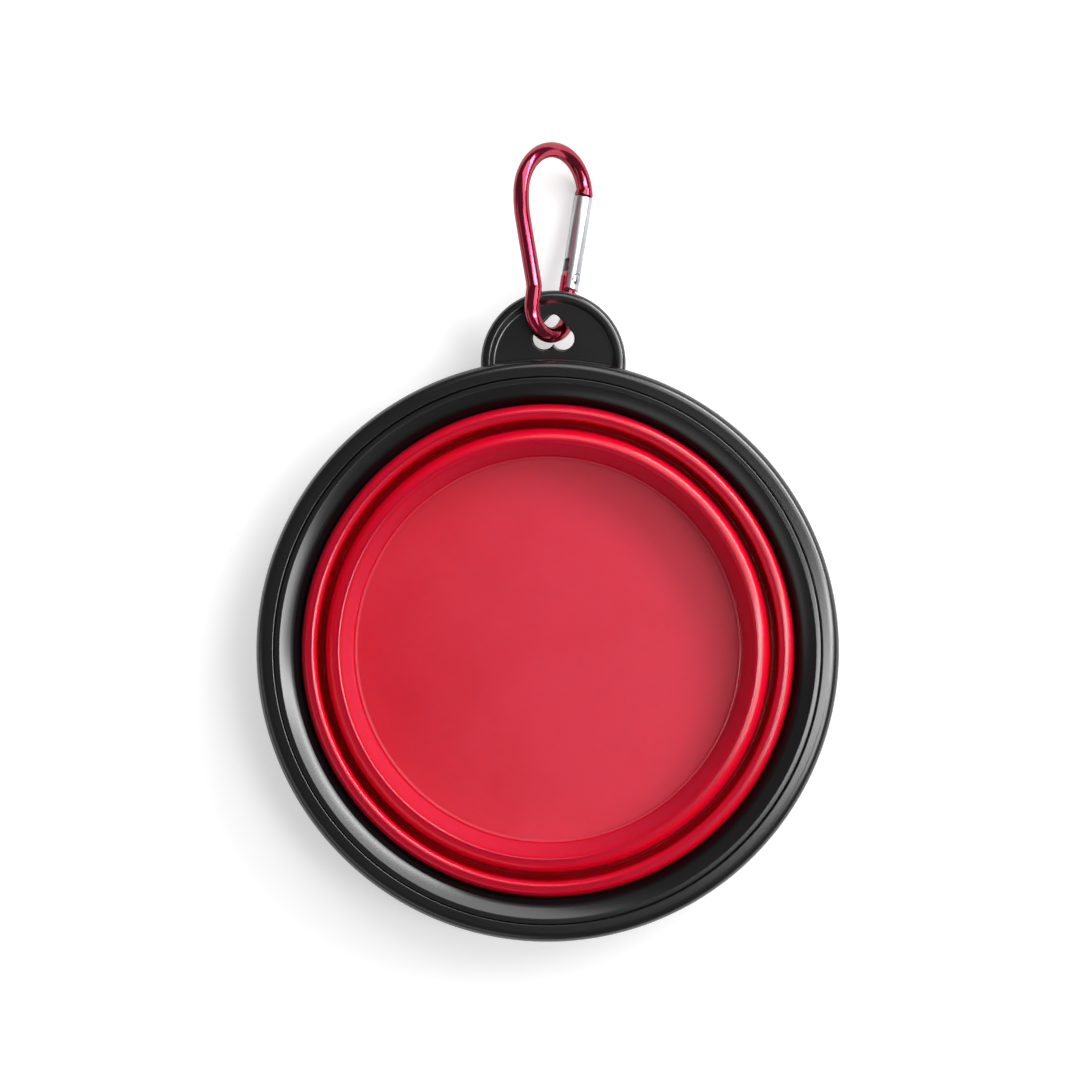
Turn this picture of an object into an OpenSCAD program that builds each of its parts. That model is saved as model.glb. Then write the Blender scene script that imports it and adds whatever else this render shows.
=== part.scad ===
// Folding travel bowl: a silicone bowl that folds flat inside a rigid rim, with a hang tab and a snap clip.
// Millimetres, +Z up. The origin is the middle of the base's underside, and the tab points along +Y.
// The bowl is drawn folded flat. The silicone is one moulding, split at its fold lines into pieces.

/* [Rim frame] */
// Outer diameter of the rim
rim_d = 130; // [124:1:150]
// Height of the rim, which is also the height of the folded bowl
rim_h = 13; // [12.5:0.5:16]
// Width of the frame's top outside the seam
rim_band_w = 4.05; // [3.2:0.05:5]
// Radius of the rounded top edge
rim_edge_r = 2.3; // [1:0.1:2.8]
// Radius of the rounded foot edge
rim_foot_r = 1.2; // [0.5:0.1:1.6]
// Thickness of the two walls beside the channel under the rim
rim_wall = 2; // [1.6:0.1:2.4]
// Height of the ledge that the silicone flange lies on
ledge_h = 6.7; // [6.4:0.1:7]
// Width of the ledge
ledge_w = 3.75; // [3.4:0.05:4.2]
// Depth of the channel under the rim
channel_depth = 3.4; // [2:0.1:3.8]

/* [Retaining ring] */
// Radial width of the ring
ring_w = 5.65; // [5.4:0.05:5.9]
// Width of the flat land beside the seam
ring_land_w = 1.1; // [0.8:0.1:1.4]
// Radial width of the band that slopes into the bowl
ring_slope_w = 2.4; // [2:0.1:2.6]
// Drop of the sloping band
ring_slope_drop = 1.3; // [0.8:0.1:1.6]
// Radius of the bead round the ring's inner edge
ring_bead_r = 0.5; // [0.4:0.05:0.6]
// Radial run of the steep wall under the bead
ring_wall_run = 1.4; // [1.2:0.1:1.6]
// Radius of the snap bead that locks the ring into the frame
snap_r = 0.4; // [0.3:0.05:0.6]

/* [Silicone bowl] */
// Thickness of the folding wall
wall_t = 1.5; // [1.2:0.1:1.6]
// Thickness of the flange that the ring clamps
flange_t = 1.7; // [1.4:0.1:2]
// Depth of the flange's locking rib
rib_depth = 1.5; // [1:0.1:1.6]
// Width of the flange's locking rib
rib_w = 1.4; // [1:0.1:1.5]
// Gap between the skirt and the first folded web
skirt_gap = 0.6; // [0.4:0.1:0.8]
// Gap inside the upper fold
upper_fold_gap = 0.4; // [0.3:0.05:0.6]
// Width of the open groove between the two raised folds
groove_w = 1.95; // [1.6:0.05:2.4]
// Radius inside the outer half of the lower fold
lower_fold_r = 1.3; // [1:0.05:1.5]
// Height of the upper fold's crest when folded
upper_crest_h = 11.4; // [10.4:0.1:12]
// Height of the lower fold's crest when folded
lower_crest_h = 11; // [10:0.1:12]
// Radius of the upper crest's inner edge
upper_crest_r = 1.3; // [1.1:0.1:1.5]
// Radius of the lower crest's inner edge
lower_crest_r = 0.7; // [0.5:0.1:1]
// Radial run of the cup's sloping wall, from the lower fold's crest to the edge of the floor
cup_run = 3.25; // [3:0.05:5]
// Thickness of the floor
floor_t = 2.2; // [1.6:0.1:3]
// Radius of the base's bottom edge
base_edge_r = 1; // [0.5:0.1:1.4]
// Height of the folds above the surface that the bowl stands on
fold_lift = 0.3; // [0.2:0.1:0.8]

/* [Hang tab] */
// Width of the tab
tab_w = 32.4; // [29:0.2:36]
// Reach of the tab past the rim
tab_reach = 15.4; // [14.8:0.1:16.4]
// Thickness of the tab's plate
tab_t = 1.5; // [1.2:0.1:1.6]
// Height of the tab's underside
tab_under_h = 8.3; // [7.6:0.1:8.6]
// Width of the raised border
border_w = 3; // [2.4:0.1:3.6]
// Rise of the border above the plate
border_rise = 1.1; // [0.6:0.1:1.2]
// Width of the border's sloping inner side
border_slope_w = 1.1; // [0.6:0.1:1.3]
// Width of the heart-shaped hole
heart_w = 9.2; // [8.8:0.1:10.4]
// Length of the heart-shaped hole
heart_len = 7.8; // [7.4:0.1:8.6]
// Radius of the heart's two lobes
heart_lobe_r = 2.45; // [2.3:0.05:2.6]
// Radius of the heart's rounded tip
heart_tip_r = 1.2; // [0.8:0.1:1.4]
// Distance from the heart's tip to the end of the tab
heart_margin = 5.4; // [4.6:0.1:6]

/* [Carabiner] */
// Diameter of the bent rod
rod_d = 3.5; // [3:0.1:3.8]
// Radius of the small loop that passes through the tab, on the rod's centre line
loop_r = 5.9; // [5.6:0.1:6.6]
// Lean of the two legs above the small loop, in degrees
leg_lean = 8; // [4:0.5:10]
// Length of the straight leg under the hinge
hinge_leg_len = 3.3; // [3:0.1:4]
// Length of the straight leg under the waist
waist_leg_len = 3.3; // [2.8:0.1:4.5]
// Bend radius at the waist
waist_r = 3; // [2.6:0.1:5]
// Lean of the straight spine, in degrees
spine_lean = 15; // [12:0.5:17]
// Length of the straight spine
spine_len = 14.4; // [12:0.2:18]
// Bend radius where the spine meets the crown
shoulder_r = 24; // [18:1:30]
// Radius of the crown
crown_r = 10.1; // [9.4:0.1:11]
// Turn of the crown, in degrees
crown_turn = 167; // [160:1:172]
// Bend radius at the nose
nose_r = 2.6; // [2.4:0.1:3.4]
// Roll of the hanging clip about its long axis, in degrees
clip_roll = 45; // [42:1:48]

/* [Gate] */
// Diameter of the gate
gate_d = 4.2; // [3.9:0.1:4.6]
// Height of the hinge rivet above the end of its leg
hinge_rise = 2.9; // [2.7:0.1:3.3]
// Diameter of the hinge rivet
rivet_d = 1.1; // [0.9:0.05:1.3]
// Diameter of the rivet's heads
rivet_head_d = 2.3; // [1.9:0.1:2.4]
// Diameter of the latch pin in the gate's free end
latch_pin_d = 1.2; // [0.9:0.1:1.3]
// Diameter of the bore that holds the return spring
spring_bore_d = 2.1; // [2:0.05:2.3]
// Diameter of the spring's wire
spring_wire_d = 0.32; // [0.25:0.01:0.34]
// Number of turns in the return spring
spring_turns = 5; // [3:1:5]

/* [Hidden] */
$fn = 96;

plastic_colour = "#202124";
silicone_colour = "#d6324b";
anodised_colour = "#b3122c";
polished_colour = "#c9ccd2";
steel_colour = "#8f9499";

// One overrun serves every cut, and each clearance has a name.
overrun = 1;
seat_clear = 0.05;
ring_clear = 0.1;
skirt_clear = 0.1;
split_gap = 0.04;

// Radii of the rim, from the outside inwards.
rim_r = rim_d / 2;
seam_r = rim_r - rim_band_w;
bore_r = seam_r - ledge_w;
ring_outer_r = seam_r - ring_clear;
ring_inner_r = ring_outer_r - ring_w;
ring_under_h = ledge_h + flange_t + 2 * seat_clear;
ring_lip_h = rim_h - ring_slope_drop;
ring_toe = 0.5;
bead_inset = 0.35;
bead_rise = 0.05;
bead_at = [ring_inner_r + ring_wall_run + bead_inset, ring_lip_h - ring_bead_r + bead_rise];
seam_edge_r = 0.35;
snap_h = (ring_under_h + rim_h) / 2;
snap_clear = 0.1;
rib_inset = 0.6;
rib_outer_r = seam_r - rib_inset;
rib_clear = 0.05;

// Faces of the silicone wall, from the skirt inwards. The path runs down, up, down, up and down again.
skirt_outer_r = bore_r - skirt_clear;
skirt_inner_r = skirt_outer_r - wall_t;
upper_web_outer_r = skirt_inner_r - skirt_gap;
upper_web_inner_r = upper_web_outer_r - wall_t;
band_outer_r = upper_web_inner_r - upper_fold_gap;
band_inner_r = band_outer_r - wall_t;
lower_web_outer_r = band_inner_r - groove_w;
lower_web_inner_r = lower_web_outer_r - wall_t;

// Each turn of the wall: [middle radius, middle height, radius inside the turn].
skirt_turn = foot_turn(upper_web_outer_r, skirt_gap);
upper_turn = crest_turn(upper_web_inner_r, upper_fold_gap + wall_t - upper_crest_r, upper_crest_h);
groove_turn = foot_turn(lower_web_outer_r, groove_w);
lower_turn = crest_turn(lower_web_inner_r, lower_fold_r, lower_crest_h);
function foot_turn(face_r, gap) = [face_r + gap / 2, fold_lift + wall_t + gap / 2, gap / 2];
function crest_turn(face_r, turn_r, crest_h) = [face_r - turn_r, crest_h - wall_t - turn_r, turn_r];

// The cup's wall is tangent to the lower crest's inner edge and ends at the edge of the floor.
// It gets thinner above the height where the outer half of the fold starts to turn.
floor_r = lower_turn[0] - cup_run;
cup_crest = [lower_turn[0], lower_crest_h - lower_crest_r];
cup_rise = cup_crest[1] - floor_t;
cup_angle = atan2(cup_rise, cup_run) + asin(lower_crest_r / norm([cup_run, cup_rise]));
cup_inner_top = cup_crest + lower_crest_r * [-sin(cup_angle), cos(cup_angle)];
cup_foot_r = floor_r - floor_t / tan(cup_angle) + wall_t / sin(cup_angle);
cup_outer_top = [cup_foot_r + lower_turn[1] / tan(cup_angle), lower_turn[1]];
cup_edge_cut = base_edge_r * tan(cup_angle / 2);

// Hang tab, a round plate that runs into the rim.
tab_r = tab_w / 2;
tab_end = rim_r + tab_reach;
tab_y = tab_end - tab_r;
tab_top_h = tab_under_h + tab_t;
tab_middle_h = tab_under_h + tab_t / 2;
border_top_h = tab_top_h + border_rise;
border_edge_r = border_rise;
tab_root = rim_band_w - overrun;

// Heart, upside down, with its tip towards the end of the tab. It is drawn from the line of its lobes.
heart_tip_y = tab_end - heart_margin;
heart_base_y = heart_tip_y - heart_len;
heart_y = heart_base_y + heart_lobe_r;
lobe_x = heart_w / 2 - heart_lobe_r;
tip_rise = heart_len - heart_lobe_r - heart_tip_r;
// The heart's straight sides cross its round ends a little inside them.
side_inset_share = 0.97;
side_angle = atan2(tip_rise, -lobe_x) - acos((heart_lobe_r - heart_tip_r) / norm([lobe_x, tip_rise]));
side_normal = [cos(side_angle), sin(side_angle)];

// The clip's own frame: X across towards the gate, Y along it from the small loop, Z square to it.
rod_r = rod_d / 2;
clip_shift = -0.8;
clip_lift = 0.4;
loop_seat = 3.2;
clip_at = [clip_shift, heart_base_y + loop_seat, tab_middle_h + clip_lift];

// Runs of the bent rod, each [length, 0] or [radius, turn], from the end of the hinge leg to the nose.
loop_turn = 180 + 2 * leg_lean;
leg_heading = 270 + leg_lean;
loop_start = [loop_r * cos(leg_lean), loop_r + loop_r * sin(leg_lean), leg_heading];
leg_end = run_end(loop_start, [-hinge_leg_len, 0]);
spine_runs = [
    [loop_r, -loop_turn],
    [waist_leg_len, 0],
    [waist_r, leg_lean + spine_lean],
    [spine_len, 0],
    [shoulder_r, -spine_lean],
    [crown_r, -crown_turn],
];
rod_step = 6;
rod_sides = 18;
crown_end = last_pose(path(loop_start, spine_runs));

// The hinge stands above its leg, and the nose bends until it points straight at the hinge.
hinge_tilt = 14;
hinge_at = [leg_end[0] + hinge_rise * sin(hinge_tilt), leg_end[1] + hinge_rise * cos(hinge_tilt)];
nose_middle = [crown_end[0] + nose_r * sin(crown_end[2]), crown_end[1] - nose_r * cos(crown_end[2])];
nose_to_hinge = hinge_at - nose_middle;
gate_heading = atan2(nose_to_hinge[1], nose_to_hinge[0]) - asin(nose_r / norm(nose_to_hinge));
nose_turn = gate_heading - crown_end[2];
nose_end = run_end(crown_end, [nose_r, nose_turn]);
nose_lead = 0.4;
nose_dist = norm([nose_end[0] - hinge_at[0], nose_end[1] - hinge_at[1]]);

// Gate, along its own Y from the hinge: -X is the inner side that it opens to.
gate_r = gate_d / 2;
gate_tail = 2.4;
tail_gap = 0.5;
tail_slope = 8;
nose_flare = 0.7;
nose_step = 0.1;
nose_gap = 0.35;
nose_face_y = nose_dist - nose_flare;
gate_top_y = nose_face_y - nose_gap;
gate_chamfer = 0.3;

// Hinge tongue, the flat end of the leg between the gate's two cheeks. Its inner corner works the plunger.
tongue_t = 1.5;
tongue_clear = 0.12;
tongue_top = 1.6;
tongue_cam = 1.6;
tongue_outer = 1.3;
tongue_toe = 2.3;
tongue_toe_y = 0.4;
tongue_chamfer = 0.4;
tongue_root = 2;
tongue_root_inset = 1.1;
fork_top = norm([tongue_top, tongue_cam]) + 2 * tongue_clear;
fork_w = tongue_t + 2 * tongue_clear;
window_top = 4.4;
window_w = 1.3;

// Rivet with two heads, each in a spot face.
rivet_r = rivet_d / 2;
rivet_fit = 0.05;
rivet_head_r = rivet_head_d / 2;
head_seat = 0.35;
head_t = 0.5;
head_chamfer = 0.2;
head_clear = 0.15;
rivet_seat = gate_r - head_seat;

// Latch: a hook on the nose that a cross pin in the gate swings into.
hook_t = 1.4;
hook_clear = 0.15;
hook_len = 3.5;
hook_lip = 0.9;
hook_outer = 1.75;
hook_neck = 1.15;
hook_inner = 1.1;
latch_pin_r = latch_pin_d / 2;
latch_pin_fit = 0.03;
latch_pin_x = -0.2;
latch_drop = 1.7;
latch_pin_y = nose_face_y - latch_drop;
latch_pin_half = sqrt(gate_r * gate_r - pow(latch_pin_r - latch_pin_x, 2));
hook_slot_inner = 1.6;
hook_slot_depth = hook_len + 2 * hook_clear;

// Return spring and plunger, in a bore along the gate.
plunger_clear = 0.1;
plunger_tip_len = 1;
plunger_len = 2.5;
plunger_tip_r = fork_w / 2 - tongue_clear;
plunger_r = spring_bore_d / 2 - plunger_clear;
plunger_y = tongue_top + plunger_clear;
bore_end = 9;
spring_start = plunger_y + plunger_len + seat_clear;
spring_len = bore_end - seat_clear - spring_start;
spring_wire_r = spring_wire_d / 2;
spring_r = spring_bore_d / 2 - plunger_clear - spring_wire_r;
spring_steps = 8;
spring_sides = 6;
spring_pitch = (spring_len - spring_wire_d) / spring_turns;

// Pose [x, y, heading] at the end of a run, poses along one run, and poses along a list of runs.
function run_end(pose, run) = run[1] == 0
    ? [pose[0] + run[0] * cos(pose[2]), pose[1] + run[0] * sin(pose[2]), pose[2]]
    : arc_end(pose, run[0] * sign(run[1]), pose[2] + run[1]);
function arc_end(pose, side_r, heading) = [
    pose[0] - side_r * sin(pose[2]) + side_r * sin(heading),
    pose[1] + side_r * cos(pose[2]) - side_r * cos(heading),
    heading,
];
function run_poses(pose, run) = let (steps = max(1, ceil(abs(run[1]) / rod_step)))
    [for (k = [1:steps]) run_end(pose, run[1] == 0 ? run : [run[0], run[1] * k / steps])];
function path(pose, runs, i = 0) = i == len(runs)
    ? [pose]
    : concat([pose], run_poses_but_last(pose, runs[i]), path(run_end(pose, runs[i]), runs, i + 1));
function run_poses_but_last(pose, run) = let (poses = run_poses(pose, run))
    [for (k = [0:1:len(poses) - 2]) poses[k]];
function last_pose(poses) = poses[len(poses) - 1];

// Triangles of a tube of rings, each with the same number of sides.
function tube_faces(rings, sides) = let (top = (rings - 1) * sides) concat(
    [for (i = [0:rings - 2], k = [0:sides - 1]) let (
        a = i * sides + k,
        b = i * sides + (k + 1) % sides
    ) each [[a, a + sides, b], [b, a + sides, b + sides]]],
    [for (k = [1:sides - 2]) each [[0, k, k + 1], [top, top + k + 1, top + k]]]
);

// The rod as one unbroken tube along a list of poses.
module rod(poses) {
    points = [for (pose = poses, k = [0:rod_sides - 1]) let (turn = k * 360 / rod_sides) [
        pose[0] - rod_r * cos(turn) * sin(pose[2]),
        pose[1] + rod_r * cos(turn) * cos(pose[2]),
        rod_r * sin(turn),
    ]];
    polyhedron(points, tube_faces(len(poses), rod_sides));
}

module in_clip() {
    translate(clip_at)
        rotate([0, clip_roll, 0])
            children();
}

module in_gate() {
    in_clip()
        translate([hinge_at[0], hinge_at[1], 0])
            rotate([0, 0, gate_heading + 90])
                children();
}

// Waste outside a round of radius r in the corner of a square, ready to be cut away.
module corner_waste(r) {
    difference() {
        square(r + overrun);
        circle(r = r);
    }
}

// A quarter of a turn of the silicone wall. A trim leaves the split between two pieces open.
module quarter_turn(turn, quarter, trim = 0) {
    outer_r = turn[2] + wall_t;
    translate([turn[0], turn[1]])
        rotate(90 * quarter)
            intersection() {
                difference() {
                    circle(r = outer_r);
                    circle(r = turn[2]);
                }
                translate([trim, 0])
                    square(outer_r + overrun);
            }
}

// A straight wall of the silicone between two heights.
module wall(inner_r, from_h, to_h) {
    translate([inner_r, from_h])
        square([wall_t, to_h - from_h]);
}

module rim_section() {
    difference() {
        translate([bore_r, 0])
            square([rim_r - bore_r, rim_h]);
        translate([rim_r - rim_edge_r, rim_h - rim_edge_r])
            corner_waste(rim_edge_r);
        translate([rim_r - rim_foot_r, rim_foot_r])
            rotate(-90)
                corner_waste(rim_foot_r);
        translate([bore_r - overrun, ledge_h])
            square([ledge_w + overrun, rim_h]);
        translate([seam_r + seam_edge_r, rim_h - seam_edge_r])
            rotate(90)
                corner_waste(seam_edge_r);
        translate([seam_r, snap_h])
            circle(r = snap_r + snap_clear);
        translate([rib_outer_r - rib_w - rib_clear, ledge_h - rib_depth - seat_clear])
            square([rib_w + 2 * rib_clear, rib_depth + overrun]);
        translate([bore_r + rim_wall, -overrun])
            square([rim_r - bore_r - 2 * rim_wall, channel_depth + overrun]);
    }
}

// The tab's section from its middle outwards: a plate with a raised border.
module tab_section() {
    difference() {
        polygon([
            [0, tab_under_h],
            [tab_r, tab_under_h],
            [tab_r, border_top_h],
            [tab_r - border_w + border_slope_w, border_top_h],
            [tab_r - border_w, tab_top_h],
            [0, tab_top_h],
        ]);
        translate([tab_r - border_edge_r, border_top_h - border_edge_r])
            corner_waste(border_edge_r);
    }
}

module heart() {
    for (side = [-1, 1])
        translate([side * lobe_x, 0])
            circle(r = heart_lobe_r);
    translate([0, tip_rise])
        circle(r = heart_tip_r);
    right = [
        [lobe_x, 0],
        [lobe_x, 0] + side_inset_share * heart_lobe_r * side_normal,
        [0, tip_rise] + side_inset_share * heart_tip_r * side_normal,
    ];
    polygon(concat(right, [for (i = [2:-1:0]) [-right[i][0], right[i][1]]]));
}

// The tab is a round plate whose inner part is cut away where the rim stands.
module tab() {
    difference() {
        translate([0, tab_y, 0])
            rotate_extrude()
                tab_section();
        translate([0, 0, tab_under_h - overrun])
            cylinder(h = rim_h, r = rim_r - tab_root);
        translate([0, heart_y, tab_under_h - overrun])
            linear_extrude(height = tab_t + 2 * overrun)
                heart();
    }
}

module rim_frame() {
    color(plastic_colour) {
        rotate_extrude()
            rim_section();
        tab();
    }
}

module retaining_ring() {
    slope_r = ring_outer_r - ring_land_w;
    lip_r = slope_r - ring_slope_w;
    color(plastic_colour)
        rotate_extrude() {
            difference() {
                polygon([
                    [ring_inner_r, ring_under_h],
                    [ring_outer_r, ring_under_h],
                    [ring_outer_r, rim_h],
                    [slope_r, rim_h],
                    [lip_r, ring_lip_h],
                    bead_at,
                    [ring_inner_r + ring_wall_run, bead_at[1]],
                    [ring_inner_r, ring_under_h + ring_toe],
                ]);
                translate([ring_outer_r - seam_edge_r, rim_h - seam_edge_r])
                    corner_waste(seam_edge_r);
            }
            translate(bead_at)
                circle(r = ring_bead_r);
            translate([ring_outer_r, snap_h])
                circle(r = snap_r);
        }
}

module bowl_flange() {
    flange_under_h = ledge_h + seat_clear;
    color(silicone_colour)
        rotate_extrude() {
            quarter_turn(skirt_turn, 3);
            wall(skirt_inner_r, skirt_turn[1], flange_under_h);
            translate([skirt_inner_r, flange_under_h])
                square([rib_outer_r - skirt_inner_r, flange_t]);
            translate([rib_outer_r - rib_w, ledge_h - rib_depth])
                square([rib_w, rib_depth + flange_t]);
        }
}

module upper_fold_web() {
    color(silicone_colour)
        rotate_extrude() {
            quarter_turn(skirt_turn, 2, split_gap);
            wall(upper_web_inner_r, skirt_turn[1], upper_turn[1]);
            quarter_turn(upper_turn, 0, split_gap);
        }
}

// The band's top is the inner half of the crest, a block with one round edge.
module fold_band() {
    color(silicone_colour)
        rotate_extrude() {
            difference() {
                translate([band_inner_r, upper_turn[1] - wall_t])
                    square([upper_crest_r, upper_crest_h - upper_turn[1] + wall_t]);
                translate([upper_turn[0], upper_crest_h - upper_crest_r])
                    rotate(90)
                        corner_waste(upper_crest_r);
            }
            wall(band_inner_r, groove_turn[1], upper_turn[1]);
            quarter_turn(groove_turn, 3);
        }
}

module lower_fold_web() {
    color(silicone_colour)
        rotate_extrude() {
            quarter_turn(groove_turn, 2, split_gap);
            wall(lower_web_inner_r, groove_turn[1], lower_turn[1]);
            quarter_turn(lower_turn, 0, split_gap);
        }
}

module base_cup() {
    reach = lower_crest_r + overrun;
    color(silicone_colour)
        rotate_extrude() {
            translate(cup_crest)
                intersection() {
                    circle(r = lower_crest_r);
                    translate([-reach, -reach])
                        square([reach, 2 * reach]);
                }
            polygon([
                [0, 0],
                [cup_foot_r - cup_edge_cut, 0],
                [cup_foot_r + cup_edge_cut * cos(cup_angle), cup_edge_cut * sin(cup_angle)],
                cup_outer_top,
                [cup_crest[0], lower_crest_h - wall_t],
                cup_crest,
                cup_inner_top,
                [floor_r, floor_t],
                [0, floor_t],
            ]);
            translate([cup_foot_r - cup_edge_cut, base_edge_r])
                circle(r = base_edge_r);
        }
}

// The bent rod, cut off at the hinge to match the slope of the gate's tail.
module bent_rod() {
    cut = 2 * gate_d;
    leg_top = run_end(leg_end, [-rod_d, 0]);
    runs = concat([[hinge_leg_len + rod_d, 0]], spine_runs, [[nose_r, nose_turn], [nose_lead, 0]]);
    difference() {
        in_clip()
            rod(path(leg_top, runs));
        in_gate()
            rotate([0, 0, -tail_slope])
                translate([-cut / 2, -gate_tail - tail_gap, -cut / 2])
                    cube(cut);
    }
}

module hinge_tongue() {
    shoulder_y = -gate_tail - tail_gap;
    in_gate()
        difference() {
            translate([0, 0, -tongue_t / 2])
                linear_extrude(height = tongue_t)
                    polygon([
                        [tongue_outer, shoulder_y - tongue_root],
                        [tongue_outer, tongue_top - tongue_chamfer],
                        [tongue_outer - tongue_chamfer, tongue_top],
                        [-tongue_cam, tongue_top],
                        [-tongue_toe, tongue_toe_y],
                        [-tongue_toe, shoulder_y],
                        [-tongue_root_inset, shoulder_y - tongue_root],
                    ]);
            translate([0, 0, -tongue_t])
                cylinder(h = 2 * tongue_t, r = rivet_r + seat_clear);
        }
}

module nose() {
    in_gate() {
        translate([0, nose_face_y, 0])
            rotate([-90, 0, 0])
                cylinder(h = nose_flare, r1 = gate_r, r2 = rod_r + nose_step);
        translate([0, nose_face_y, -hook_t / 2])
            linear_extrude(height = hook_t)
                polygon([
                    [hook_outer, nose_flare / 2],
                    [hook_outer - hook_neck, nose_flare / 2],
                    [hook_outer - hook_neck, hook_lip - hook_len],
                    [-hook_inner, hook_lip - hook_len],
                    [-hook_inner, -hook_len],
                    [hook_outer, -hook_len],
                ]);
    }
}

module carabiner_body() {
    color(anodised_colour) {
        bent_rod();
        hinge_tongue();
        nose();
    }
}

module hinge_rivet() {
    color(steel_colour)
        in_gate() {
            translate([0, 0, -rivet_seat])
                cylinder(h = 2 * rivet_seat, r = rivet_r);
            for (side = [0, 180])
                rotate([side, 0, 0])
                    translate([0, 0, rivet_seat + seat_clear / 2]) {
                        translate([0, 0, -seat_clear])
                            cylinder(h = seat_clear + head_t, r = rivet_r);
                        cylinder(h = head_t - head_chamfer, r = rivet_head_r);
                        translate([0, 0, head_t - head_chamfer])
                            cylinder(h = head_chamfer, r1 = rivet_head_r, r2 = rivet_head_r - head_chamfer);
                    }
        }
}

module gate() {
    cut = 2 * gate_d;
    color(polished_colour)
        in_gate()
            difference() {
                translate([0, -gate_tail - gate_d, 0])
                    rotate([-90, 0, 0]) {
                        cylinder(h = gate_tail + gate_d + gate_top_y - gate_chamfer, r = gate_r);
                        translate([0, 0, gate_tail + gate_d + gate_top_y - gate_chamfer])
                            cylinder(h = gate_chamfer, r1 = gate_r, r2 = gate_r - gate_chamfer);
                    }
                rotate([0, 0, -tail_slope])
                    translate([-cut / 2, -gate_tail - cut, -cut / 2])
                        cube(cut);
                translate([-gate_d, -gate_tail - gate_d, -fork_w / 2])
                    cube([2 * gate_d, gate_tail + gate_d + fork_top, fork_w]);
                translate([-gate_d, 0, -window_w / 2])
                    cube([gate_d, window_top, window_w]);
                translate([0, fork_top - overrun, 0])
                    rotate([-90, 0, 0])
                        cylinder(h = bore_end - fork_top + overrun, r = spring_bore_d / 2);
                translate([-hook_slot_inner, nose_face_y - hook_slot_depth, -hook_t / 2 - hook_clear])
                    cube([gate_d, hook_slot_depth, hook_t + 2 * hook_clear]);
                translate([0, 0, -gate_d])
                    cylinder(h = 2 * gate_d, r = rivet_r + rivet_fit);
                for (side = [0, 180])
                    rotate([side, 0, 0])
                        translate([0, 0, rivet_seat])
                            cylinder(h = gate_d, r = rivet_head_r + head_clear);
                translate([latch_pin_x, latch_pin_y, -gate_d])
                    cylinder(h = 2 * gate_d, r = latch_pin_r + latch_pin_fit);
            }
}

module latch_pin() {
    color(steel_colour)
        in_gate()
            translate([latch_pin_x, latch_pin_y, -latch_pin_half])
                cylinder(h = 2 * latch_pin_half, r = latch_pin_r);
}

// Points of the return spring: rings round a helix that climbs along Z.
function helix(step) = [
    spring_r * cos(step * 360 / spring_steps),
    spring_r * sin(step * 360 / spring_steps),
    spring_wire_r + spring_pitch * step / spring_steps,
];
function helix_ring(step) = let (
    turn = step * 360 / spring_steps,
    climb = atan2(spring_pitch, 2 * PI * spring_r),
    out = [cos(turn), sin(turn), 0],
    up = [sin(turn) * sin(climb), -cos(turn) * sin(climb), cos(climb)]
) [for (k = [0:spring_sides - 1])
    helix(step) + spring_wire_r * (cos(k * 360 / spring_sides) * out + sin(k * 360 / spring_sides) * up)];

module gate_spring() {
    last = spring_turns * spring_steps;
    points = [for (step = [0:last]) each helix_ring(step)];
    gaps = [for (i = [0:last - spring_steps], j = [i + spring_steps / 2:last]) norm(helix(i) - helix(j))];
    echo(least_spring_gap = min(gaps) - spring_wire_d);
    color(steel_colour)
        in_gate()
            translate([0, spring_start, 0])
                rotate([-90, 0, 0])
                    polyhedron(points, tube_faces(last + 1, spring_sides));
}

module spring_plunger() {
    color(steel_colour)
        in_gate()
            translate([0, plunger_y, 0])
                rotate([-90, 0, 0]) {
                    cylinder(h = plunger_tip_len, r = plunger_tip_r);
                    translate([0, 0, plunger_tip_len])
                        cylinder(h = plunger_len - plunger_tip_len, r = plunger_r);
                }
}

rim_frame();
retaining_ring();
bowl_flange();
upper_fold_web();
fold_band();
lower_fold_web();
base_cup();
carabiner_body();
hinge_rivet();
gate();
latch_pin();
gate_spring();
spring_plunger();
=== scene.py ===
import math

import bpy
from mathutils import Matrix, Vector


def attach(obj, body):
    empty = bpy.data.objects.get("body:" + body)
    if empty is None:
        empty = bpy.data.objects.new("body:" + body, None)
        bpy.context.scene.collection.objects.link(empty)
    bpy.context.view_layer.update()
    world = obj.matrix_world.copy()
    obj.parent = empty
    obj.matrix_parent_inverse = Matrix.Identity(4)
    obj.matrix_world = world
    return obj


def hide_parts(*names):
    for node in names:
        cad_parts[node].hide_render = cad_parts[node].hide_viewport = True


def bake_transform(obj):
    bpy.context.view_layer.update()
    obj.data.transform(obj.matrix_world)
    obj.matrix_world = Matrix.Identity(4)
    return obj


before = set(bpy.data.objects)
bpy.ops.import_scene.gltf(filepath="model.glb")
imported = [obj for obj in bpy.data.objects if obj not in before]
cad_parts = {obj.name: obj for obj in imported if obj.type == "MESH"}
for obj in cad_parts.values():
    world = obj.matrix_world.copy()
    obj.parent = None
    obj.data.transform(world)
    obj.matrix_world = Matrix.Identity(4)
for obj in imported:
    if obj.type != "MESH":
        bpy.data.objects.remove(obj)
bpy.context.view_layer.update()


# Rim frame: the stiff outer ring of the bowl, moulded in black plastic in one shot with its hang tab.
# A channel under the ring keeps its wall even, and a ledge inside carries the silicone flange.
# The tab is a thin plate with a raised border and a heart-shaped hole.
MM = 0.001
WELD = 0.002 * MM
RING_STEPS, TAB_STEPS = 240, 160


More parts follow.
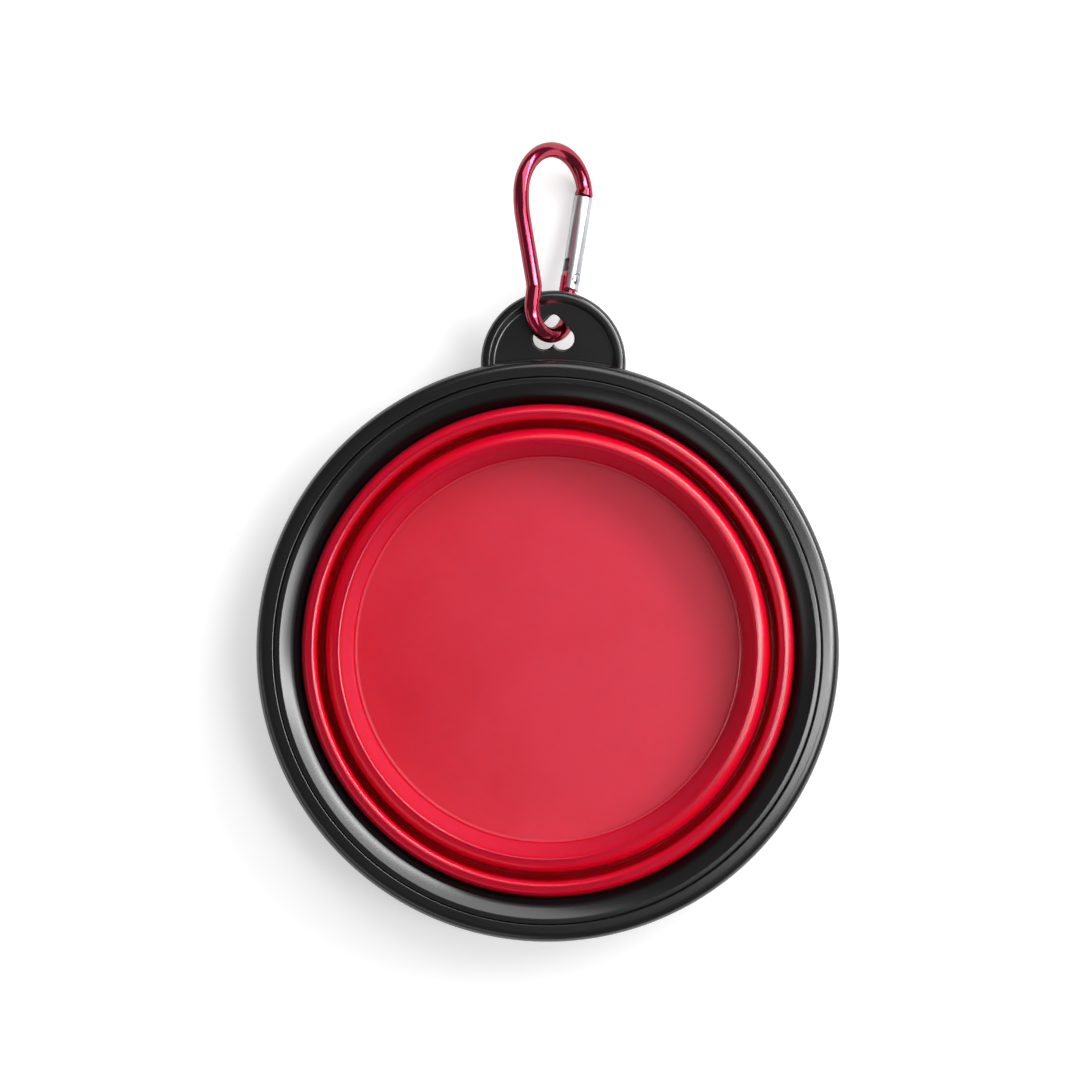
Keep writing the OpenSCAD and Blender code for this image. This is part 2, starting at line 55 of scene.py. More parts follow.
def rounded(corners, detail=8):
    """Points along an outline in millimetres. A corner's third number is the radius that rounds it."""
    points = []
    for i, corner in enumerate(corners):
        here = Vector(corner[:2])
        radius = corner[2] if len(corner) > 2 else 0
        if radius == 0:
            points.append(here)
            continue
        back = (Vector(corners[i - 1][:2]) - here).normalized()
        ahead = (Vector(corners[(i + 1) % len(corners)][:2]) - here).normalized()
        half = back.angle(ahead) / 2
        middle = here + (back + ahead).normalized() * (radius / math.sin(half))
        first = here + back * (radius / math.tan(half)) - middle
        last = here + ahead * (radius / math.tan(half)) - middle
        sweep = first.angle_signed(last)
        for k in range(detail + 1):
            points.append(middle + Matrix.Rotation(-sweep * k / detail, 2) @ first)
    return points


def arc(middle, radius, start, end, detail=20):
    """Points along an arc, with two short end steps, so that the shading runs on into the next piece."""
    turns = [0, 0.01] + [k / detail for k in range(1, detail)] + [0.99, 1]
    angles = [math.radians(start + (end - start) * t) for t in turns]
    return [Vector((middle[0] + radius * math.cos(a), middle[1] + radius * math.sin(a))) for a in angles]


def edit_mode():
    bpy.ops.object.mode_set(mode="EDIT")


def object_mode():
    bpy.ops.object.mode_set(mode="OBJECT")


def take(piece):
    """Makes a piece the only selected and the active one."""
    bpy.ops.object.select_all(action="DESELECT")
    piece.select_set(True)
    bpy.context.view_layer.objects.active = piece


def name_new(name):
    piece = bpy.context.object
    piece.name = piece.data.name = name
    return piece


def draw(name, places):
    """Draws a chain of edges from place to place, and leaves it in edit mode with all of it selected."""
    bpy.ops.object.select_all(action="DESELECT")
    bpy.ops.mesh.primitive_plane_add(size=MM)
    piece = name_new(name)
    edit_mode()
    bpy.ops.mesh.merge(type="CENTER")
    bpy.ops.transform.translate(value=places[0])
    for here, there in zip(places, places[1:]):
        bpy.ops.mesh.extrude_vertices_move(TRANSFORM_OT_translate={"value": there - here})
    bpy.ops.mesh.select_all(action="SELECT")
    return piece


def close_up():
    """Merges the seam of a spun or lofted shell, turns its faces outwards and goes back to object mode."""
    bpy.ops.mesh.select_all(action="SELECT")
    bpy.ops.mesh.remove_doubles(threshold=WELD)
    bpy.ops.mesh.normals_make_consistent(inside=False)
    object_mode()


def turn(name, outline, steps, axis="Z", middle=(0, 0)):
    """Spins an outline of (radius, distance along the axis) round the Y or Z axis, or one beside it."""
    along = Vector((0, 1, 0)) if axis == "Y" else Vector((0, 0, 1))
    place = Vector((*middle, 0)) * MM
    piece = draw(name, [(Vector((p[0], 0, 0)) + along * p[1]) * MM + place for p in outline])
    bpy.ops.mesh.spin(steps=steps, angle=math.tau, center=place, axis=along)
    close_up()
    return piece


def turn_ring(name, outline):
    """Spins a closed outline of (radius, height) round the bowl's axis."""
    return turn(name, [*outline, outline[0]], RING_STEPS)


def combine(piece, other, operation):
    """Joins, cuts or intersects a piece with another one, which is used up."""
    take(piece)
    tool = piece.modifiers.new("combine", "BOOLEAN")
    tool.operation = operation
    tool.solver = "EXACT"
    tool.object = other
    bpy.ops.object.modifier_apply(modifier=tool.name)
    bpy.data.meshes.remove(other.data)


def smooth(piece, angle=30):
    take(piece)
    bpy.ops.object.shade_smooth_by_angle(angle=math.radians(angle))


rim_frame = turn_ring("rim_frame_moulding", rounded([
    (57.2, 0, 0.5), (59.2, 0, 0.4), (59.2, 3.4, 0.3), (63, 3.4, 0.3), (63, 0, 0.4), (65, 0, 1.2),
    (65, 13, 2.3), (61.1, 13, 0.25), (61.1, 11.25, 0.05), (61.45, 11.25, 0.4), (61.45, 10.25, 0.4),
    (60.95, 10.25, 0.05), (60.95, 6.7, 0.15), (60.4, 6.7, 0.1), (60.4, 5.15, 0.2), (58.9, 5.15, 0.2),
    (58.9, 6.7, 0.1), (57.2, 6.7, 0.4)]))

TAB_Y, TAB_R = 64.2, 16.2
TAB_UNDER, TAB_PLATE, TAB_BORDER = 8.3, 9.8, 10.9
LOBE_X, LOBE_Y, LOBE_R = 2.15, 69.65, 2.45
TIP_Y, TIP_R = 73.8, 1.2


def heart(out):
    """The heart-shaped hole's edge, grown by a distance: from its notch up one side and down the other."""
    lobe_r, tip_r = LOBE_R + out, TIP_R + out
    rise = TIP_Y - LOBE_Y
    lean = math.degrees(math.atan2(rise, -LOBE_X) - math.acos((LOBE_R - TIP_R) / math.hypot(LOBE_X, rise)))
    notch = math.degrees(math.acos(-LOBE_X / lobe_r))
    side = arc((LOBE_X, LOBE_Y), lobe_r, -notch, lean, 28) + arc((0, TIP_Y), tip_r, lean, 90, 12)
    return side + [Vector((-p.x, p.y)) for p in side[-2:0:-1]]


def loft(name, loops):
    """A closed solid through outlines of equal length, each (points, height), capped at both ends."""
    first, first_z = loops[0]
    piece = draw(name, [Vector((p.x, p.y, first_z)) * MM for p in [*first, first[0]]])
    bpy.ops.mesh.remove_doubles(threshold=WELD)
    bpy.ops.mesh.edge_face_add()
    for points, height in loops[1:]:
        bpy.ops.mesh.extrude_region_move()
        object_mode()
        for vertex, p in zip([v for v in piece.data.vertices if v.select], points):
            vertex.co = Vector((p.x, p.y, height)) * MM
        edit_mode()
    close_up()
    return piece


border = rounded([(0, TAB_UNDER), (TAB_R, TAB_UNDER, 0.4), (TAB_R, TAB_BORDER, 1.5),
                  (TAB_R - 1.9, TAB_BORDER, 0.35), (TAB_R - 3, TAB_PLATE, 0.6), (0, TAB_PLATE)], 10)
tab = turn("tab", border, TAB_STEPS, middle=(0, TAB_Y))
combine(tab, turn("inside", [(0, 5), (62.4, 5), (62.4, 12.6), (0, 12.6)], TAB_STEPS), "DIFFERENCE")
flare = [(0.42, -0.2), (0.42, 0), (0.26, 0.05), (0.12, 0.15), (0.03, 0.29), (0, 0.45)]
hole_loops = [(heart(out), TAB_UNDER + z) for out, z in flare]
hole_loops += [(heart(out), TAB_PLATE - z) for out, z in flare[::-1]]
combine(tab, loft("hole", hole_loops), "DIFFERENCE")
combine(rim_frame, tab, "UNION")
smooth(rim_frame)
flats = rim_frame.modifiers.new("flats", "WEIGHTED_NORMAL")
flats.keep_sharp = True
bpy.ops.object.modifier_apply(modifier=flats.name)


class Wire:
    """A socket of a material in the making. Sums, differences and products of wires add Math nodes."""

    def __init__(self, tree, socket=None):
        self.tree = tree
        self.socket = socket

    def node(self, kind, settings=None, sockets=None, out=0):
        """Adds a node: its settings are set first, then its sockets get values or links."""
        made = self.tree.nodes.new(kind)
        for key, value in (settings or {}).items():
            setattr(made, key, value)
        for key, value in (sockets or {}).items():
            if isinstance(value, Wire):
                self.tree.links.new(value.socket, made.inputs[key])
            else:
                made.inputs[key].default_value = value
        return Wire(self.tree, made.outputs[out] if len(made.outputs) else None)

    def maths(self, operation, a, b):
        return self.node("ShaderNodeMath", {"operation": operation}, {0: a, 1: b})

    def __add__(self, other):
        return self.maths("ADD", self, other)

    def __radd__(self, other):
        return self.maths("ADD", other, self)

    def __sub__(self, other):
        return self.maths("SUBTRACT", self, other)

    def __rsub__(self, other):
        return self.maths("SUBTRACT", other, self)

    def __mul__(self, other):
        return self.maths("MULTIPLY", self, other)

    def place(self):
        return self.node("ShaderNodeTexCoord", out="Object")

    def flat_place(self):
        """The level line from the bowl's upright axis to a point."""
        return self.node("ShaderNodeVectorMath", {"operation": "MULTIPLY"}, {0: self.place(), 1: (1, 1, 0)})

    def from_axis(self):
        """The distance from the bowl's upright axis."""
        return self.node("ShaderNodeVectorMath", {"operation": "LENGTH"}, {0: self.flat_place()}, out="Value")

    def noise(self, size_mm, detail=2.0, roughness=0.5, stretch=(1, 1, 1)):
        """Cloudy noise whose blotches are about a size in millimetres across."""
        spot = self.node("ShaderNodeMapping", None, {"Vector": self.place(), "Scale": stretch})
        return self.node("ShaderNodeTexNoise", None, {"Vector": spot, "Scale": 1 / (size_mm * MM),
                         "Detail": detail, "Roughness": roughness}, out="Fac")

    def ramp(self, low, high):
        """0 below the low value, 1 above the high one, with an even slope between."""
        return self.node("ShaderNodeMapRange", {"clamp": True},
                         {"Value": self, "From Min": low, "From Max": high})

    def beyond(self, near_mm, far_mm):
        """0 up to the near length in millimetres, 1 from the far one on."""
        return self.ramp(near_mm * MM, far_mm * MM)

    def bump(self, strength, depth_mm):
        """Fine relief, with this wire as its height."""
        return self.node("ShaderNodeBump", None,
                         {"Strength": strength, "Distance": depth_mm * MM, "Height": self})

    def tint(self, factor, first, second):
        return self.node("ShaderNodeMix", {"data_type": "RGBA"}, {0: factor, 6: first, 7: second}, out=2)


def new_finish(name, constants):
    """A material with its shader's steady values set, and a wire to build the rest from."""
    material = bpy.data.materials.new(name)
    material.use_nodes = True
    shader = material.node_tree.nodes["Principled BSDF"]
    for key, value in constants.items():
        shader.inputs[key].default_value = value
    return material, shader, Wire(material.node_tree)


def feed(shader, wires):
    for key, wire in wires.items():
        wire.tree.links.new(wire.socket, shader.inputs[key])


def dress(piece, material):
    piece.data.materials.clear()
    piece.data.materials.append(material)


def rgb(red, green, blue):
    """A colour from its usual 0 to 255 numbers, as light."""
    light = [c / 255 / 12.92 if c <= 10 else ((c / 255 + 0.055) / 1.055) ** 2.4 for c in (red, green, blue)]
    return (*light, 1)


black_plastic, shader, wire = new_finish("black_moulded_plastic", {
    "IOR": 1.25, "Coat IOR": 1.7, "Coat Roughness": 0.22})
cloud = wire.noise(16, 3)
grain = wire.noise(0.28, 2, 0.6)
rubs = wire.noise(2.2, 3, 0.7).ramp(0.56, 0.74)
feed(shader, {
    "Base Color": wire.tint(cloud.ramp(0.3, 0.7), rgb(8, 8, 9), rgb(14, 14, 16)),
    "Roughness": 0.28 + cloud * 0.06 + rubs * 0.06,
    "Coat Weight": wire.from_axis().beyond(56.6, 57.6),
    "Normal": grain.bump(0.06, 0.03),
})
dress(rim_frame, black_plastic)
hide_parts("rim_frame")
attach(rim_frame, "rim")


# Silicone bowl: one soft red moulding, pressed in a mould, with a flange that the rim clamps.
# Its wall runs down, up, down, up and down again, so that it folds flat, and a flat floor closes it.
# It is split at its fold lines, and the two webs lie between the parts that they join, on no body of their
# own.
WALL = 1.5
FLOOR_TOP = 2.2
SKIRT, UPPER, GROOVE, LOWER = (55.3, 2.1), (52.9, 9.3), (50.625, 2.775), (46.85, 8.2)
SKIRT_R, UPPER_R, GROOVE_R, LOWER_R = 0.3, 0.6, 0.975, 1.3
UPPER_EDGE, LOWER_EDGE = (52.9, 10.1), (46.85, 10.3)
UPPER_EDGE_R, LOWER_EDGE_R = 1.3, 0.7


def points(*pairs):
    return [Vector(pair) for pair in pairs]


bowl_flange = turn_ring("bowl_flange_moulding", arc(SKIRT, SKIRT_R + WALL, 270, 360) + rounded([
    (57.1, 2.2), (57.1, 6.75, 0.3), (58.95, 6.75), (58.95, 5.2, 0.2), (60.35, 5.2, 0.2), (60.35, 8.45, 0.3),
    (55.6, 8.45, 0.4), (55.6, 2.2)]) + arc(SKIRT, SKIRT_R, 360, 270))
upper_web = turn_ring("upper_fold_moulding",
                      arc(SKIRT, SKIRT_R, 270, 180) + arc(UPPER, UPPER_R + WALL, 0, 90)
                      + arc(UPPER, UPPER_R, 90, 0) + arc(SKIRT, SKIRT_R + WALL, 180, 270))
fold_band = turn_ring("fold_band_moulding",
                      arc(UPPER_EDGE, UPPER_EDGE_R, 90, 180) + arc(GROOVE, GROOVE_R, 360, 270)
                      + arc(GROOVE, GROOVE_R + WALL, 270, 360) + points((53.1, 9.3), (52.9, 9.9)))
lower_web = turn_ring("lower_fold_moulding",
                      arc(GROOVE, GROOVE_R, 270, 180) + arc(LOWER, LOWER_R + WALL, 0, 90)
                      + arc(LOWER, LOWER_R, 90, 0) + arc(GROOVE, GROOVE_R + WALL, 180, 270))

CUP_ANGLE = 72.74
foot = rounded([(46.724, 7.2), (44.487, 0, 1), (30, 0)])
floor_edge = rounded([(30, FLOOR_TOP), (42.85, FLOOR_TOP, 0.3), (43.1, 2.45, 0.25), (43.45, 2.45, 0.25),
                      (43.65, 2.36), (45.7, 8.958)])
cup_section = (arc(LOWER_EDGE, LOWER_EDGE_R, 90, 90 + CUP_ANGLE) + floor_edge[::-1][:-1]
               + points((30, FLOOR_TOP), (12, FLOOR_TOP), (0, FLOOR_TOP), (0, 0), (12, 0), (30, 0))
               + foot[::-1][1:-1] + points((47.035, 8.2), (46.85, 9.5)))
base_cup = turn_ring("base_cup_moulding", cup_section)

red_silicone, shader, wire = new_finish("red_silicone", {
    "IOR": 1.42, "Coat IOR": 1.5, "Coat Roughness": 0.1,
    "Subsurface Weight": 1, "Subsurface Scale": 0.003, "Subsurface Radius": (1, 0.12, 0.1)})
cloud = wire.noise(24, 3, 0.55)
smudge = wire.noise(9, 4, 0.6, (1, 2.2, 1))
grain = wire.noise(0.35, 2)
from_axis = wire.from_axis()
on_wall = from_axis.beyond(43, 43.4)
on_folds = from_axis.beyond(45.6, 46.4)
# Painted highlight: a faint pale line on the bead at the floor's edge, standing in for the light it catches.
bead_painted_highlight = from_axis.beyond(42.95, 43.15) * (1 - from_axis.beyond(43.35, 43.55))
# Painted light: the deep groove between the folds gets a brighter, purer red, standing in for light bounced
# in it and shining through the thin wall.
groove_painted_light = from_axis.beyond(49.7, 49.95) * (1 - from_axis.beyond(51.3, 51.55))
faces = wire.node("ShaderNodeTexCoord", out="Normal")
outward = wire.node("ShaderNodeVectorMath", {"operation": "DOT_PRODUCT"},
                    {0: faces, 1: wire.flat_place()}, out="Value").beyond(-5, 5)
# Painted sheen and shade: the cup's inward-facing wall gets a red of its own, matched to the sheen and shade
# it shows.
wall_painted_sheen_and_shade = (1 - on_folds) * (1 - outward)
across = wire.node("ShaderNodeSeparateXYZ", None, {0: wire.place()}, out="X")
# Cloudy tone, plus a painted sheen: the floor's red turns paler towards +X, standing in for the broad light's
# gloss haze.
cloud_and_painted_sheen = (across.beyond(-46, -2) + cloud * 1.2 - 0.62).ramp(0, 1)
floor_red = wire.tint(cloud_and_painted_sheen, rgb(207, 0, 42), rgb(218, 41, 70))
fold_red = wire.tint(groove_painted_light, rgb(228, 0, 44), rgb(250, 0, 32))
wall_red = wire.tint(wall_painted_sheen_and_shade, fold_red, rgb(214, 30, 64))
feed(shader, {
    "Base Color": wire.tint(bead_painted_highlight * 0.1, wire.tint(on_wall, floor_red, wall_red), rgb(238, 138, 152)),
    "Roughness": 0.24 + (1 - on_wall) * (0.16 + smudge * 0.1 + cloud * 0.04),
    "Coat Weight": on_wall * 0.3,
    "Normal": grain.bump(0.08, 0.02),
})
for piece, node in ((bowl_flange, "bowl_flange"), (upper_web, "upper_fold_web"), (fold_band, "fold_band"),
                    (lower_web, "lower_fold_web"), (base_cup, "base_cup")):
    smooth(piece)
    dress(piece, red_silicone)
    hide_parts(node)
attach(bowl_flange, "rim")
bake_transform(upper_web)
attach(fold_band, "fold_band")
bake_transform(lower_web)
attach(base_cup, "base_cup")


# Retaining ring: a second black moulding that snaps into the frame and clamps the silicone's flange.
# Its top slopes into the bowl and ends in a rounded edge over a steep wall.
# A thin seam shows between it and the frame.
retaining_ring = turn_ring("retaining_ring_moulding", rounded([
    (55.2, 8.5, 0.2), (60.85, 8.5, 0.2), (60.85, 10.35, 0.05), (61.22, 10.45, 0.2), (61.22, 11.05, 0.2),
    (60.85, 11.15, 0.05), (60.85, 13, 0.25), (59.9, 13), *arc((68.042, -5.17), 20, 114.7, 122.5, 10),
    (56.75, 11.3, 0.4), (55.2, 9, 0.2)]))
smooth(retaining_ring)
dress(retaining_ring, black_plastic)
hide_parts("retaining_ring")
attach(retaining_ring, "rim")


# Clip body: a snap hook bent from one aluminium rod and dyed red by anodising.
# Its small loop runs through the heart, and its end above the tab is milled to a flat tongue for the hinge.
# The nose is upset to the gate's width and carries a small hook for the latch pin.
ROD_R, LOOP_R, LEG = 1.75, 5.9, 6.4
CLIP = Matrix.Translation(Vector((-0.8, 70.4, 9.45)) * MM) @ Matrix.Rotation(math.radians(45), 4, "Y")
HINGE = Vector((6.08488, 12.8029, 0))
GATE_TURN = -11.13
SAW_TURN, CLEAR = -8, 4.2
GATE = Matrix.Translation(HINGE * MM) @ Matrix.Rotation(math.radians(GATE_TURN), 4, "Z")


def put(piece, place):
    """Moves a finished shape to its place on the clip, and keeps its object at the origin."""
    take(piece)
    piece.matrix_world = place
    bpy.ops.object.transform_apply(location=True, rotation=True, scale=True)


def heading(degrees):
    return Vector((math.cos(math.radians(degrees)), math.sin(math.radians(degrees)), 0))


def bend_rod(name, start, direction, radius, runs):
    """Extrudes and spins a round section along straight runs (length, 0) and bends (radius, angle)."""
    bpy.ops.object.select_all(action="DESELECT")
    bpy.ops.mesh.primitive_circle_add(vertices=40, radius=radius * MM, fill_type="NGON",
                                      rotation=(math.radians(90), 0, math.radians(direction - 90)))
    piece = name_new(name)
    piece.location = Vector(start) * MM
    bpy.ops.object.transform_apply(location=True, rotation=True, scale=True)
    edit_mode()
    bpy.ops.mesh.select_all(action="SELECT")
    place = Vector(start)
    for size, bend in runs:
        ahead = heading(direction)
        if bend == 0:
            bpy.ops.mesh.extrude_region_move(TRANSFORM_OT_translate={"value": ahead * size * MM})
            place = place + ahead * size
            continue
        middle = place + heading(direction + math.copysign(90, bend)) * size
        bpy.ops.mesh.spin(steps=max(4, round(abs(bend) / 4)), angle=math.radians(-bend), center=middle * MM,
                          axis=(0, 0, 1))
        place = middle + Matrix.Rotation(math.radians(bend), 3, "Z") @ (place - middle)
        direction = direction + bend
    close_up()
    return piece


leg_lean = math.radians(8)
leg_end = Vector((LOOP_R * math.cos(leg_lean), LOOP_R + LOOP_R * math.sin(leg_lean), 0))
clip_body = bend_rod("clip_body", leg_end - heading(278) * LEG, 278, ROD_R, [
    (LEG, 0), (LOOP_R, -196), (3.3, 0), (3, 23), (14.4, 0), (24, -15), (10.1, -167), (2.6, -24.13), (0.4, 0)])


def block(name, low, high, degrees=0):
    """A box between two corners in the gate's own frame, turned about the hinge, for cutting with."""
    low, high = Vector(low), Vector(high)
    bpy.ops.object.select_all(action="DESELECT")
    bpy.ops.mesh.primitive_cube_add(size=1, location=(low + high) / 2 * MM, scale=(high - low) * MM)
    piece = name_new(name)
    bpy.ops.object.transform_apply(location=True, rotation=True, scale=True)
    put(piece, Matrix.Rotation(math.radians(degrees), 4, "Z"))
    return piece


def soften(piece, width):
    """Takes the sharpness off a piece's edges with a fine bevel."""
    take(piece)
    edge = piece.modifiers.new("edges", "BEVEL")
    edge.width = width * MM
    edge.segments = 2
    edge.limit_method = "ANGLE"
    edge.angle_limit = math.radians(40)
    bpy.ops.object.modifier_apply(modifier=edge.name)


hinge_cut = block("hinge_cut", (-CLEAR, -2.9, -CLEAR), (CLEAR, 5.5, CLEAR), SAW_TURN)
put(hinge_cut, GATE)
combine(clip_body, hinge_cut, "DIFFERENCE")
tongue_outline = rounded([(1.3, -4.9), (1.3, 1.6, 0.5), (-1.6, 1.6, 0.25), (-2.3, 0.4, 0.6),
                          (-2.3, -2.9, 0.6), (-1.1, -4.9)])
tongue = loft("tongue", [(tongue_outline, -0.75), (tongue_outline, 0.75)])
soften(tongue, 0.1)
put(tongue, GATE)
combine(clip_body, tongue, "UNION")
nose = turn("nose", [(0, 19.36), (1.96, 19.36), (2.08, 19.46), (2.08, 19.6), (1.77, 20.9), (0, 20.9)],
            64, "Y")
put(nose, GATE)
combine(clip_body, nose, "UNION")
hook_outline = rounded([(1.75, 19.8), (0.6, 19.8), (0.6, 16.76), (-1.1, 16.76, 0.2), (-1.1, 15.86, 0.2),
                        (1.75, 15.86, 0.4)])
hook = loft("hook", [(hook_outline, -0.7), (hook_outline, 0.7)])
put(hook, GATE)
combine(clip_body, hook, "UNION")
smooth(clip_body, 35)
put(clip_body, CLIP)

red_anodised, shader, wire = new_finish("red_anodised_aluminium", {
    "Metallic": 1, "Specular Tint": rgb(200, 60, 90),
    "Coat Weight": 1, "Coat Roughness": 0.05, "Coat IOR": 1.6})
drawn = wire.noise(0.5, 3, 0.6, (1, 0.08, 1))
cloud = wire.noise(5, 2)
feed(shader, {
    "Base Color": wire.tint(cloud.ramp(0.35, 0.65), rgb(184, 8, 58), rgb(196, 16, 68)),
    "Roughness": 0.12 + drawn * 0.08,
    "Normal": drawn.bump(0.08, 0.02),
})
dress(clip_body, red_anodised)
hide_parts("carabiner_body")
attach(clip_body, "carabiner")


# Gate: a polished aluminium bar that swings inward on the rivet and shuts against the nose.
# It is sawn open at the hinge for the tongue and the plunger, and drilled for the spring.
# Its free end is slotted for the nose's hook, and two shallow seats take the rivet's heads.
gate = turn("gate_bar", rounded([(0, -5), (2.1, -5), (2.1, 19.01, 0.3), (0, 19.01)], 4), 64, "Y")
seats = [turn("seat", [(0, 1.75 * side), (1.3, 1.75 * side), (1.3, 3 * side), (0, 3 * side)], 40)
         for side in (-1, 1)]
for cutter in (
        block("tail_cut", (-CLEAR, -10, -CLEAR), (CLEAR, -2.4, CLEAR), SAW_TURN),
        block("fork_cut", (-CLEAR, -7, -0.87), (CLEAR, 2.5, 0.87)),
        block("window_cut", (-CLEAR, 0, -0.65), (0, 4.4, 0.65)),
        turn("bore", [(0, 1.5), (1.05, 1.5), (1.05, 9), (0, 9)], 32, "Y"),
        block("hook_cut", (-1.6, 15.56, -0.85), (CLEAR, 20, 0.85)), *seats):
    combine(gate, cutter, "DIFFERENCE")
soften(gate, 0.06)
smooth(gate, 35)
put(gate, CLIP @ GATE)

polished, shader, wire = new_finish("polished_aluminium", {"Metallic": 1})
drawn = wire.noise(0.2, 2, 0.5, (1, 0.03, 1))
cloud = wire.noise(4, 2)
feed(shader, {
    "Base Color": wire.tint(cloud.ramp(0.35, 0.65), rgb(214, 216, 220), rgb(226, 227, 230)),
    "Roughness": 0.27 + drawn * 0.12,
    "Normal": drawn.bump(0.05, 0.02),
})
dress(gate, polished)
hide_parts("gate")
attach(gate, "gate")


# Hinge rivet: a steel pin through the gate's two cheeks and the tongue.
# Its low domed heads are formed over at both ends, and sit in the gate's seats.
rivet = turn("hinge_rivet_pin", rounded([
    (0, -2.27), (0.8, -2.27, 1.2), (1.15, -1.98, 0.1), (1.15, -1.78), (0.55, -1.78), (0.55, 1.78),
    (1.15, 1.78), (1.15, 1.98, 0.1), (0.8, 2.27, 1.2), (0, 2.27)], 6), 48)
smooth(rivet)
put(rivet, CLIP @ GATE)

bright_steel, shader, wire = new_finish("bright_steel", {"Metallic": 1})
cloud = wire.noise(0.8, 3)
feed(shader, {
    "Base Color": wire.tint(cloud.ramp(0.35, 0.65), rgb(196, 198, 203), rgb(212, 213, 217)),
    "Roughness": 0.16 + cloud * 0.12,
})
dress(rivet, bright_steel)
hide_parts("hinge_rivet")
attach(rivet, "carabiner")


# Latch pin: a short steel pin pressed across the gate's free end.
# The nose's hook catches it when the shut clip is loaded.
latch_pin = turn("latch_cross_pin", rounded([
    (0, -1.94), (0.6, -1.94, 0.12), (0.6, 1.94, 0.12), (0, 1.94)], 4), 40)
put(latch_pin, Matrix.Translation(Vector((-0.2, 17.66, 0)) * MM))
smooth(latch_pin)
put(latch_pin, CLIP @ GATE)
dress(latch_pin, bright_steel)
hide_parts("latch_pin")
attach(latch_pin, "gate")


# Gate spring: a small coil of steel wire in the gate's bore, which shuts the gate through the plunger.
# It lies between the plunger and the gate, on no body of its own.
WIRE_R, COIL_R, PITCH, COILS, WIRE_SIDES = 0.16, 0.79, 0.876, 5, 12
bpy.ops.object.select_all(action="DESELECT")
bpy.ops.mesh.primitive_circle_add(vertices=WIRE_SIDES, radius=WIRE_R * MM,
                                  location=(COIL_R * MM, 0, WIRE_R * MM), rotation=(math.radians(90), 0, 0))
spring = name_new("gate_spring_coil")
bpy.ops.object.transform_apply(location=True, rotation=True, scale=True)
coil = spring.modifiers.new("coil", "SCREW")
coil.axis = "Z"
coil.screw_offset = PITCH * MM
coil.iterations = COILS
coil.steps = coil.render_steps = 24
bpy.ops.object.modifier_apply(modifier=coil.name)
edit_mode()
bpy.ops.mesh.select_all(action="SELECT")
bpy.ops.mesh.fill_holes(sides=WIRE_SIDES)
close_up()
smooth(spring, 40)
put(spring, Matrix.Translation(Vector((0, 4.25, 0)) * MM) @ Matrix.Rotation(math.radians(-90), 4, "X"))
put(spring, CLIP @ GATE)
dress(spring, bright_steel)
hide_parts("gate_spring")
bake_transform(spring)


# Spring plunger: a turned steel pin between the coil and the tongue, seen in the window of the gate.
# Its narrow tip rests on the tongue, and its collar carries the coil.
plunger = turn("spring_plunger_pin", rounded([
    (0, 1.7), (0.75, 1.7, 0.2), (0.75, 2.7), (0.95, 2.7, 0.08), (0.95, 4.2, 0.1), (0, 4.2)], 4), 40, "Y")
smooth(plunger)
put(plunger, CLIP @ GATE)
dress(plunger, bright_steel)
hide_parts("spring_plunger")
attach(plunger, "plunger")


# Studio: a plain white table that follows the bowl's base, and a pale room.
# Two broad lights stand at the upper right, a small one at the right, and a weak fill at the lower left.
# A narrow card gives the rod its streak. The camera looks straight down on the bowl.
bpy.ops.object.select_all(action="DESELECT")
bpy.ops.mesh.primitive_plane_add(size=6, location=(0, 0, -0.05 * MM))
floor = name_new("floor")
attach(floor, "base_cup")

white_table = bpy.data.materials.new("white_table")
white_table.use_nodes = True
wire = Wire(white_table.node_tree)
white_table.node_tree.nodes.clear()
seen = wire.node("ShaderNodeLightPath", out="Is Camera Ray")
mirrored = wire.node("ShaderNodeLightPath", out="Is Glossy Ray")
paint = wire.node("ShaderNodeBsdfDiffuse", None, {"Color": (0.78, 0.78, 0.78, 1)})
glow = wire.node("ShaderNodeEmission", None,
                 {"Color": (1, 1, 1, 1), "Strength": seen * 0.47 + mirrored * 0.1})
both = wire.node("ShaderNodeAddShader", None, {0: paint, 1: glow})
wire.node("ShaderNodeOutputMaterial", None, {"Surface": both})
floor.data.materials.append(white_table)


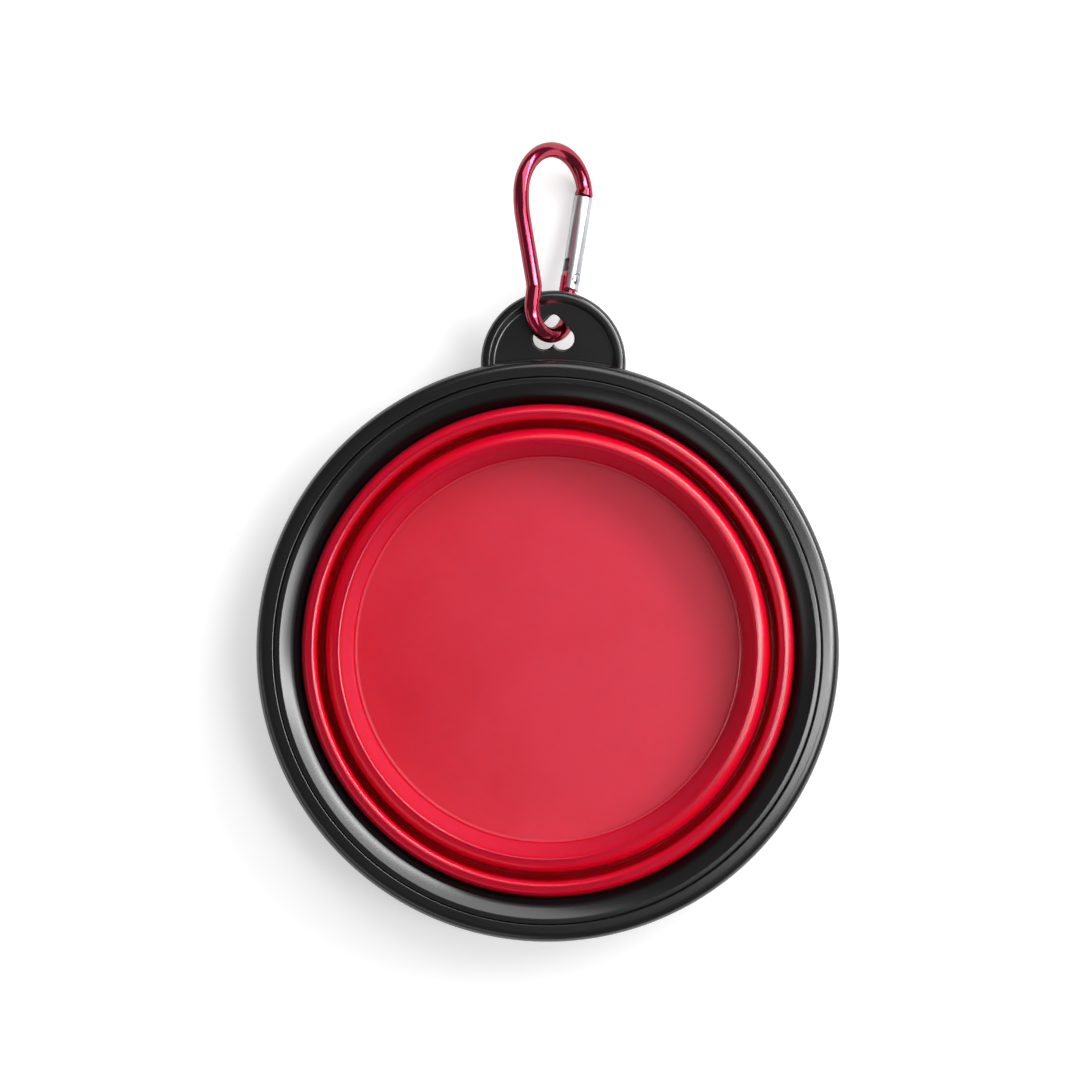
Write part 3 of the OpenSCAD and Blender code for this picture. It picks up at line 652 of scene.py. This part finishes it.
def soft_light(name, place, aim, size, power, roll=0):
    lamp = bpy.data.lights.new(name, "AREA")
    lamp.shape = "RECTANGLE"
    lamp.size, lamp.size_y = size
    lamp.energy = power
    holder = bpy.data.objects.new(name, lamp)
    bpy.context.collection.objects.link(holder)
    holder.location = place
    facing = (Vector(aim) - Vector(place)).to_track_quat("-Z", "Y").to_matrix()
    holder.rotation_euler = (facing @ Matrix.Rotation(math.radians(roll), 3, "Z")).to_euler()
    return holder


def from_sky(bearing, height, distance):
    """A place at a bearing from +X, a height in degrees above the table, and a distance in metres."""
    flat = math.cos(math.radians(height)) * distance
    return (flat * math.cos(math.radians(bearing)), flat * math.sin(math.radians(bearing)),
            math.sin(math.radians(height)) * distance)


AIM = (0, 0.02, 0)
soft_light("key", from_sky(48, 50, 1.1), AIM, (1.6, 0.6), 6)
soft_light("strip", from_sky(40, 29, 1.1), AIM, (1.0, 0.22), 8.5)
soft_light("side", from_sky(-15, 52, 1.1), AIM, (0.3, 0.6), 2.6)
card = soft_light("card", (0.192, 0.011, 0.29), (-0.008, 0.092, 0.014), (0.05, 0.32), 0.45, 35)
card.visible_diffuse = False
soft_light("fill", from_sky(225, 27, 1.3), AIM, (2.2, 0.5), 2)

room = bpy.data.worlds.new("room")
bpy.context.scene.world = room
room.use_nodes = True
wire = Wire(room.node_tree)
room.node_tree.nodes.clear()
seen = wire.node("ShaderNodeLightPath", out="Is Camera Ray")
mirrored = wire.node("ShaderNodeLightPath", out="Is Glossy Ray")
air = wire.node("ShaderNodeBackground", None,
                {"Color": (0.22, 0.22, 0.225, 1), "Strength": 1 - mirrored * 0.45})
white = wire.node("ShaderNodeBackground", None, {"Color": (1, 1, 1, 1), "Strength": 1.0})
around = wire.node("ShaderNodeMixShader", None, {0: seen, 1: air, 2: white})
wire.node("ShaderNodeOutputWorld", None, {"Surface": around})

DISTANCE, HALF_VIEW = 0.9, 0.12045
eye = bpy.data.cameras.new("camera")
eye.sensor_width = 36
eye.lens = eye.sensor_width / 2 * DISTANCE / HALF_VIEW
camera = bpy.data.objects.new("camera", eye)
bpy.context.collection.objects.link(camera)
camera.location = (-2.2 * MM, 24.6 * MM, 10.7 * MM + DISTANCE)
camera.rotation_euler = (0, 0, math.radians(1.1))
bpy.context.scene.camera = camera
bpy.context.scene.view_settings.view_transform = "Standard"
